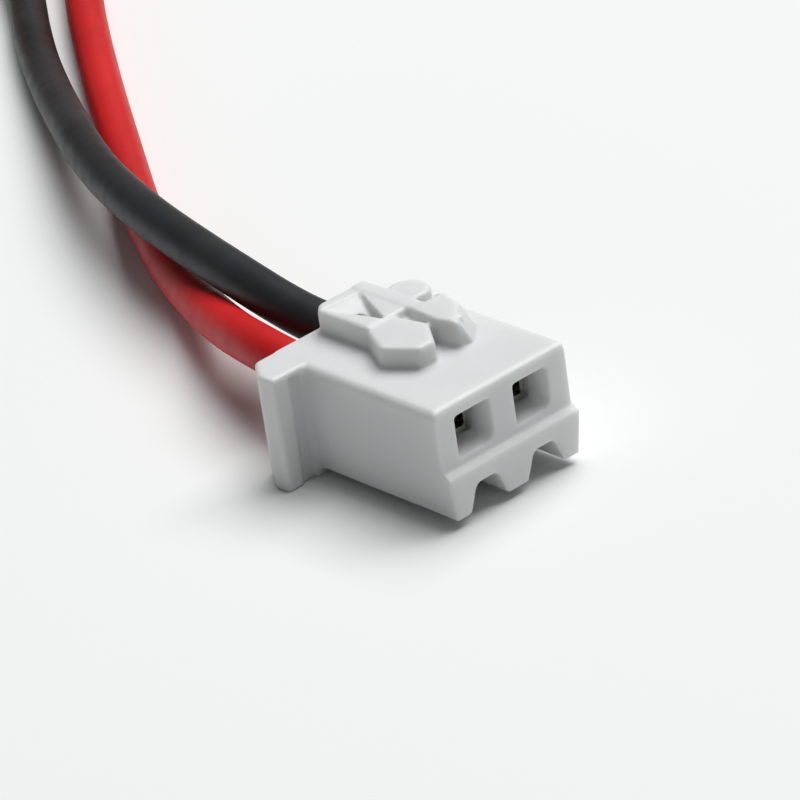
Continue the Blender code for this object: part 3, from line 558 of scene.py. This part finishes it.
rib_end = slab(RIB_END, "Z", SUNK, RIB_END_TOP)
for vert in rib_end.verts:
    if vert.co.z > RIB_END_TOP - HAIR and vert.co.x > 1.41 and vert.co.y < 4.5:
        vert.co += Vector((*RIB_END_LEAN, 0.0))
soften(rib_end, 0.12, lambda middle, line: middle.z > BODY_TOP - 0.05, 3)
join(housing, rib_end)

x, y, radius = FAR_POST
post = disc(x, y, SUNK, PLATFORM_TOP, radius)
soften(post, 0.12, lambda middle, line: middle.z > PLATFORM_TOP - HAIR, 3)
join(housing, post)
print("platform joined:", len(housing.data.polygons), "faces")

# %% [markdown]
# The recess is a three-cornered prism whose floor is tilted: its two rear corners are
# lifted nearly to the platform's top.  A pick reaches the lance of the near contact
# through the window in its floor.

# %% Recess, window and slit
RECESS = ((-0.84, 7.22), (0.73, 7.05), (-0.13, 4.95))
RECESS_FLOOR = 4.15
RAMP_TOP = 4.85
WINDOW = ((-0.44, 5.63, 2.95), (0.08, 6.43, 4.60))
SLIT = ((1.40, 4.80, 4.13), (1.50, 6.60, 5.50))

recess = slab(RECESS, "Z", RECESS_FLOOR, PLATFORM_TOP + BEYOND / 2)
for vert in recess.verts:
    if vert.co.z < RECESS_FLOOR + HAIR and vert.co.y > 6.5:
        vert.co.z = RAMP_TOP
cut(housing, recess)
cut(housing, block(*WINDOW))
cut(housing, block(*SLIT))
print("recess cut:", len(housing.data.polygons), "faces")

# %% [markdown]
# Each mouth leads a pin into its contact.  Its left wall is straight, its right wall
# and its floor flare towards the front, and the corner between them is round.  Such
# a shape changes from front to back, so it is a few rings bridged with each other,
# where a bevelled block could only keep one width.

# %% Pin mouths and contact cavities
MOUTH_TOP = 3.58
MOUTH_CORNER = 0.42
CORNER_STEPS = 6
MOUTH_LEVELS = (              # y, left wall, right wall and floor of a mouth, from its way
    (-0.60, -0.68, 0.90, 2.06), (0.05, -0.68, 0.82, 2.10), (0.30, -0.68, 0.72, 2.19),
    (0.55, -0.67, 0.67, 2.27), (0.95, -0.66, 0.65, 2.33),
)


def mouth_ring(bm, way, level):
    """One cross-section of a mouth, with its lower right corner rounded."""
    y, left, right, floor = level
    points = [(left, MOUTH_TOP), (left, floor)]
    for step in range(CORNER_STEPS + 1):
        angle = math.pi / 2 * step / CORNER_STEPS
        points.append((right - MOUTH_CORNER + MOUTH_CORNER * math.sin(angle),
                       floor + MOUTH_CORNER - MOUTH_CORNER * math.cos(angle)))
    points.append((right, MOUTH_TOP))
    verts = [bm.verts.new((way + x, y, z)) for x, z in points]
    return [bm.edges.new(pair) for pair in zip(verts, verts[1:] + verts[:1])]


def mouth(way):
    """Bridged rings, with every bent wall face split along the same diagonal."""
    bm = bmesh.new()
    rings = [mouth_ring(bm, way, level) for level in MOUTH_LEVELS]
    for first, second in zip(rings, rings[1:]):
        bmesh.ops.bridge_loops(bm, edges=first + second)
    bmesh.ops.holes_fill(bm, edges=rings[0] + rings[-1])
    bmesh.ops.recalc_face_normals(bm, faces=bm.faces)
    bmesh.ops.triangulate(bm, faces=bm.faces, quad_method="ALTERNATE")
    return bm


CONTACT_ROOM = ((-0.70, 0.80, 2.27), (0.70, 5.3, 3.63))       # from its way's axis
CRIMP_ROOM = ((-1.0, 5.1, 1.70), (1.0, BODY_REAR + BEYOND, 3.70))

for way in (-HALF_PITCH, HALF_PITCH):
    sideways = Vector((way, 0.0, 0.0))
    cut(housing, mouth(way))
    for low, high in (CONTACT_ROOM, CRIMP_ROOM):
        cut(housing, block(Vector(low) + sideways, Vector(high) + sideways))
print("mouths cut:", len(housing.data.polygons), "faces")

# %% [markdown]
# A voxel remesh gives the housing an even fine mesh, and a few rounds of smoothing
# wear its edges down by about the size of a voxel.  A bevel on every edge would trip
# over the small faces that the cuts left.  The last line of shape takes the housing
# from the bench to its place.

# %% Mould rounding
VOXEL = 0.062
SMOOTHING_ROUNDS = 6

housing.data.materials.clear()
remesh = housing.modifiers.new("grain", "REMESH")
remesh.mode = "VOXEL"
remesh.voxel_size = VOXEL
remesh.use_smooth_shade = True
ease = housing.modifiers.new("ease", "SMOOTH")
ease.factor = 0.5
ease.iterations = SMOOTHING_ROUNDS
settle(housing)
housing.data.transform(FROM_BENCH)
housing.data.shade_smooth()
print("moulding:", len(housing.data.polygons), "faces")

# %% [markdown]
# Unfilled nylon is white with a touch of cool grey, slightly glossy, and lets light
# in by about a millimetre, which subsurface scattering shows.  The mould leaves a
# very fine texture.

# %% White nylon
nylon = Finish("moulded_nylon", (0.66, 0.67, 0.665), 0.42)
tone = nylon.steps(nylon.noise(220.0, 3.0), 0.3, 0.7, 0.0, 1.0)
nylon.colour(nylon.blend(tone, (0.65, 0.665, 0.665), (0.69, 0.705, 0.705)))
nylon.roughness(nylon.steps(nylon.noise(2600.0, 2.0), 0.3, 0.7, 0.38, 0.50))
nylon.bump(nylon.noise(1500.0, 4.0), 0.012 * MM, 0.35)
nylon.set(subsurface_weight=0.45, subsurface_scale=0.9 * MM, subsurface_radius=(1.0, 0.9, 0.8))
housing.data.materials.append(nylon.material)
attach(housing, "root")
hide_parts("plug_housing")
print("nylon on the moulding")

# %% [markdown]
# ## The pack
#
# The pouch, the sleeve and the wrap are film.  Real film creases and never lies
# perfectly flat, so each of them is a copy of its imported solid, divided finely and
# pushed in and out by a few smooth waves.  Points on sharp edges stay where they
# are, so that the film's cut edges stay clean.

# %% Film shapes
WELD_DISTANCE = 0.0005 * MM
FLAT_ANGLE = math.radians(1.0)
RIM_ANGLE = math.radians(30.0)
SHARP_ANGLE = math.radians(50.0)
HALVINGS = 7                  # at most this many times an edge is halved


def divide(bm, cell):
    """Halves long edges until none is longer than the cell."""
    for _ in range(HALVINGS):
        long_edges = [edge for edge in bm.edges if edge.calc_length() > cell]
        if not long_edges:
            break
        bmesh.ops.subdivide_edges(bm, edges=long_edges, cuts=1)
        bmesh.ops.triangulate(bm, faces=[face for face in bm.faces if len(face.verts) > 3])


def crease(x, y, z):
    """A smooth uneven wave, from about -1.5 to 1.5, at a place in units of its pitch."""
    broad = math.sin(2.1 * x + 1.3 * math.sin(1.7 * y)) * math.sin(1.9 * y + 0.8 * math.sin(2.3 * x + z))
    fine = math.sin(5.3 * x + 3.1 * y + 1.1 * z) * math.sin(4.1 * y - 2.7 * x)
    return broad + 0.5 * fine


def film(node, cell, ripple, pitch):
    """A finely divided copy of a node, with waves; all lengths in millimetres."""
    name = node + "_film"
    mesh = bpy.data.objects[node].data.copy()
    mesh.name = name
    bm = bmesh.new()
    bm.from_mesh(mesh)
    bmesh.ops.remove_doubles(bm, verts=bm.verts, dist=WELD_DISTANCE)
    bmesh.ops.dissolve_limit(bm, angle_limit=FLAT_ANGLE, verts=bm.verts, edges=bm.edges)
    bmesh.ops.triangulate(bm, faces=bm.faces)
    divide(bm, cell * MM)
    bm.normal_update()
    rims = {vert for edge in bm.edges if edge.calc_face_angle(0.0) > RIM_ANGLE for vert in edge.verts}
    shifts = {vert: vert.normal * crease(*(vert.co / (pitch * MM))) * ripple * MM
              for vert in set(bm.verts) - rims}
    for vert, shift in shifts.items():
        vert.co += shift
    bm.to_mesh(mesh)
    bm.free()
    piece = bpy.data.objects.new(name, mesh)
    bpy.context.scene.collection.objects.link(piece)
    mesh.shade_smooth()
    mesh.set_sharp_from_angle(angle=SHARP_ANGLE)
    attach(piece, "root")
    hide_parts(node)
    print(name + ":", len(mesh.polygons), "faces")
    return piece


def give(piece, finish):
    """Makes a finish the only one of a piece."""
    piece.data.materials.clear()
    piece.data.materials.append(finish.material)


pouch_cup = film("pouch_cup", cell=0.70, ripple=0.022, pitch=3.8)
pouch_tray = film("pouch_tray", cell=0.70, ripple=0.014, pitch=3.0)
sleeve = film("label_sleeve", cell=0.50, ripple=0.018, pitch=3.2)
wrap = film("polyimide_wrap", cell=0.45, ripple=0.016, pitch=2.4)

# %% [markdown]
# The pouch is aluminium foil between two plastics.  It looks like satin metal under
# a thin clear coat, with slow dents from handling.

# %% Pouch foil
foil = Finish("laminated_foil", (0.72, 0.73, 0.75), 0.34, 1.0)
foil.colour(foil.blend(foil.steps(foil.noise(320.0, 4.0), 0.3, 0.7, 0.0, 1.0), (0.66, 0.67, 0.69),
                       (0.76, 0.77, 0.79)))
foil.roughness(foil.steps(foil.noise(900.0, 4.0), 0.3, 0.7, 0.27, 0.42))
foil.bump(foil.noise(160.0, 2.0, 0.5), 0.05 * MM, 0.30)
foil.bump(foil.noise(2400.0, 3.0), 0.004 * MM, 0.3)
foil.set(coat_weight=0.25, coat_roughness=0.22)
for piece in (pouch_cup, pouch_tray):
    give(piece, foil)
print("foil on the pouch")

# %% [markdown]
# The sleeve is printed film: a dark blue ground, a pale panel with a warm band on the
# broad faces, and thin pale lines near its two ends.  It carries no words or marks.
# The print is laid out with Object coordinates.  Each area is a rectangle seen from
# above, built from four comparisons, and each covers the ones before it.

# %% Printed sleeve
INK_BLUE = (0.016, 0.045, 0.16)
INK_DARK = (0.05, 0.09, 0.22)
INK_PALE = (0.62, 0.66, 0.70)
INK_LINE = (0.75, 0.78, 0.80)
INK_WARM = (0.72, 0.22, 0.03)
PRINT = (                     # low corner and high corner in mm, and ink
    ((-11.5, -9.2), (7.5, 9.2), INK_PALE),
    ((-11.5, 5.6), (7.5, 9.2), INK_WARM),
    ((-11.5, -7.4), (7.5, -6.6), INK_DARK),
    ((-11.5, -5.6), (7.5, -5.3), INK_DARK),
    ((-11.5, 4.6), (7.5, 5.1), INK_DARK),
    ((8.5, -12.9), (8.9, 12.9), INK_LINE),
    ((-13.4, -12.9), (-12.9, 12.9), INK_LINE),
)

printed = Finish("printed_sleeve", (0.02, 0.06, 0.20), 0.30)
axes = printed.tree.nodes.new("ShaderNodeSeparateXYZ")
printed.link(printed.place, axes.inputs["Vector"])


def compare(operation, first, second):
    """A Math node of the sleeve's finish; a number sets a socket, a socket is linked."""
    node = printed.tree.nodes.new("ShaderNodeMath")
    node.operation = operation
    for socket, value in zip(node.inputs, (first, second)):
        if isinstance(value, float):
            socket.default_value = value
        else:
            printed.link(value, socket)
    return node.outputs[0]


def between(axis, low, high):
    """1 where a coordinate lies between two values in millimetres, 0 elsewhere."""
    above = compare("GREATER_THAN", axes.outputs[axis], low * MM)
    below = compare("LESS_THAN", axes.outputs[axis], high * MM)
    return compare("MULTIPLY", above, below)


ink = INK_BLUE
for low, high, tint in PRINT:
    inside = compare("MULTIPLY", between("X", low[0], high[0]), between("Y", low[1], high[1]))
    ink = printed.blend(inside, ink, tint)
wear = printed.steps(printed.noise(1500.0, 5.0), 0.58, 0.80, 0.0, 0.14)
printed.colour(printed.blend(wear, ink, (0.50, 0.52, 0.55)))
printed.roughness(printed.steps(printed.noise(500.0, 4.0), 0.3, 0.7, 0.24, 0.40))
printed.bump(printed.noise(260.0, 3.0), 0.05 * MM, 0.5)
printed.bump(printed.noise(3200.0, 2.0), 0.005 * MM, 0.4)
printed.set(coat_weight=0.5, coat_roughness=0.12)
give(sleeve, printed)
print("sleeve printed:", len(PRINT), "areas")

# %% [markdown]
# The wrap over the board is amber tape, thin enough to show the parts under it.  Its
# alpha is below one for that.  Glass-like transmission would bend the view of the
# board and take far longer to render.

# %% Amber wrap
amber = Finish("amber_film", (0.80, 0.36, 0.03), 0.22)
amber.colour(amber.blend(amber.steps(amber.noise(300.0, 4.0), 0.3, 0.7, 0.0, 1.0), (0.72, 0.30, 0.02),
                         (0.86, 0.42, 0.05)))
amber.roughness(amber.steps(amber.noise(700.0, 4.0), 0.3, 0.7, 0.16, 0.30))
amber.bump(amber.noise(200.0, 2.0, 0.5), 0.06 * MM, 0.30)
amber.set(alpha=0.40, coat_weight=0.4, coat_roughness=0.1, ior=1.6)
give(wrap, amber)
print("wrap is amber film")

# %% [markdown]
# The board, its parts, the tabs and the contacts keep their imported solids.  Two
# recipes cover nearly all of them: a grained finish for moulded, glazed and cast
# parts, and a brushed one for metal that was rolled or drawn, whose grain is drawn
# out along the strip.  The board's solder mask adds a brick pattern as its tracks.

# %% Board, parts and metal
def grained(name, deep, pale, rough, metallic=0.0, scale=900.0, bump=0.006):
    """A finish with two close tones, uneven roughness and a fine grain."""
    made = Finish(name, deep, sum(rough) / 2, metallic)
    made.colour(made.blend(made.steps(made.noise(scale, 4.0), 0.3, 0.7, 0.0, 1.0), deep, pale))
    made.roughness(made.steps(made.noise(scale * 2.3, 3.0), 0.3, 0.7, *rough))
    made.bump(made.noise(scale * 4.0, 3.0), bump * MM, 0.5)
    return made


def brushed(name, deep, pale, rough, turn=0.0):
    """Rolled metal: a grain drawn out along the strip."""
    made = Finish(name, deep, sum(rough) / 2, 1.0)
    place = made.stretched((300.0, 9000.0, 9000.0), (0.0, 0.0, turn))
    made.colour(made.blend(made.steps(made.noise(1.0, 3.0, place=place), 0.3, 0.7, 0.0, 1.0), deep, pale))
    made.roughness(made.steps(made.noise(1.0, 2.0, place=place), 0.3, 0.7, *rough))
    made.bump(made.noise(1.0, 2.0, place=place), 0.004 * MM, 0.5)
    return made


board_mask = Finish("solder_mask", (0.01, 0.13, 0.05), 0.3)
tracks = board_mask.tree.nodes.new("ShaderNodeTexBrick")
tracks.inputs["Scale"].default_value = 420.0
tracks.inputs["Mortar Size"].default_value = 0.07
tracks.inputs["Color1"].default_value = (0.012, 0.14, 0.055, 1.0)
tracks.inputs["Color2"].default_value = (0.010, 0.11, 0.045, 1.0)
tracks.inputs["Mortar"].default_value = (0.03, 0.24, 0.09, 1.0)
board_mask.link(board_mask.place, tracks.inputs["Vector"])
board_mask.colour(tracks.outputs["Color"])
board_mask.roughness(board_mask.steps(board_mask.noise(1200.0), 0.3, 0.7, 0.22, 0.38))
board_mask.bump(tracks.outputs["Fac"], 0.03 * MM, 0.4)
board_mask.set(coat_weight=0.4, coat_roughness=0.15)

tin_plated = brushed("tin_plate", (0.62, 0.60, 0.56), (0.78, 0.76, 0.72), (0.16, 0.30), PLUG_TURN)
solder = grained("solder_alloy", (0.62, 0.63, 0.65), (0.78, 0.79, 0.81), (0.12, 0.30), 1.0, 1300.0)
strand = brushed("tinned_strand", (0.66, 0.60, 0.52), (0.80, 0.76, 0.70), (0.20, 0.35))
weld_nickel = brushed("weld_nickel", (0.62, 0.61, 0.58), (0.74, 0.73, 0.70), (0.25, 0.40))
nickel = brushed("rolled_nickel", (0.60, 0.57, 0.51), (0.72, 0.69, 0.63), (0.20, 0.36))
aluminium = brushed("rolled_aluminium", (0.78, 0.79, 0.80), (0.88, 0.89, 0.90), (0.22, 0.38))
electrode = grained("wound_electrode", (0.03, 0.03, 0.032), (0.07, 0.07, 0.074), (0.5, 0.7))
seal = grained("seal_film", (0.72, 0.71, 0.64), (0.82, 0.81, 0.75), (0.3, 0.45))
cell_foam = grained("cell_foam", (0.72, 0.72, 0.69), (0.84, 0.84, 0.81), (0.85, 0.98), 0.0, 2600.0, 0.05)
package = grained("chip_package", (0.012, 0.012, 0.013), (0.028, 0.028, 0.030), (0.42, 0.60))
glaze = grained("resistor_glaze", (0.015, 0.015, 0.017), (0.035, 0.035, 0.038), (0.25, 0.40))
ceramic = grained("ceramic_body", (0.36, 0.23, 0.12), (0.46, 0.31, 0.18), (0.40, 0.55))

NODE_FINISHES = (
    (electrode, ("electrode_stack",)),
    (nickel, ("negative_tab",)),
    (aluminium, ("positive_tab",)),
    (seal, ("negative_tab_film", "positive_tab_film")),
    (weld_nickel, ("negative_weld_plate", "positive_weld_plate")),
    (cell_foam, ("foam_pad",)),
    (board_mask, ("protection_board",)),
    (package, ("mosfet_chip", "protection_chip")),
    (glaze, ("resistor_1", "resistor_2")),
    (ceramic, ("capacitor",)),
    (solder, ("black_solder_joint", "red_solder_joint")),
    (strand, ("black_board_strands", "red_board_strands", "black_plug_strands", "red_plug_strands")),
    (tin_plated, ("red_contact", "black_contact")),
)
for finish, names in NODE_FINISHES:
    for name in names:
        give(bpy.data.objects[name], finish)
print("finishes on", sum(len(names) for finish, names in NODE_FINISHES), "packed nodes")

# %% [markdown]
# Inside the box of each contact two leaves of the same strip spring against the pin.
# Each is a thin slab whose front slants back, and both contacts' leaves are one
# piece.

# %% Spring leaves in the contacts
LEAF_MIDDLE = -0.29           # the leaves sit beside the wall that the pin slides along
LEAF_FRONT = 1.02
LEAF_REAR = 2.4
LEAF_SLANT = 0.5
LEAF = ((-0.19, 3.38), (-0.09, 3.38), (0.01, 2.82), (-0.06, 2.66))

leaves = bmesh.new()
for way in (-HALF_PITCH, HALF_PITCH):
    for side in (1, -1):
        outline = [(way + LEAF_MIDDLE + side * u, v) for u, v in LEAF]
        leaf = slab(outline, "Y", LEAF_FRONT, LEAF_REAR)
        for vert in leaf.verts:
            if vert.co.y < LEAF_FRONT + HAIR:
                vert.co.y += LEAF_SLANT * (LEAF[0][1] - vert.co.z)
        part = bpy.data.meshes.new("leaf")
        leaf.to_mesh(part)
        leaf.free()
        leaves.from_mesh(part)
        bpy.data.meshes.remove(part)
bmesh.ops.recalc_face_normals(leaves, faces=leaves.faces)
bmesh.ops.transform(leaves, matrix=FROM_BENCH, verts=leaves.verts)
springs = add_piece("contact_springs", leaves, tin_plated)
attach(springs, "root")
print("spring leaves:", len(springs.data.polygons), "faces")

# %% [markdown]
# ## The end

print("scene built")
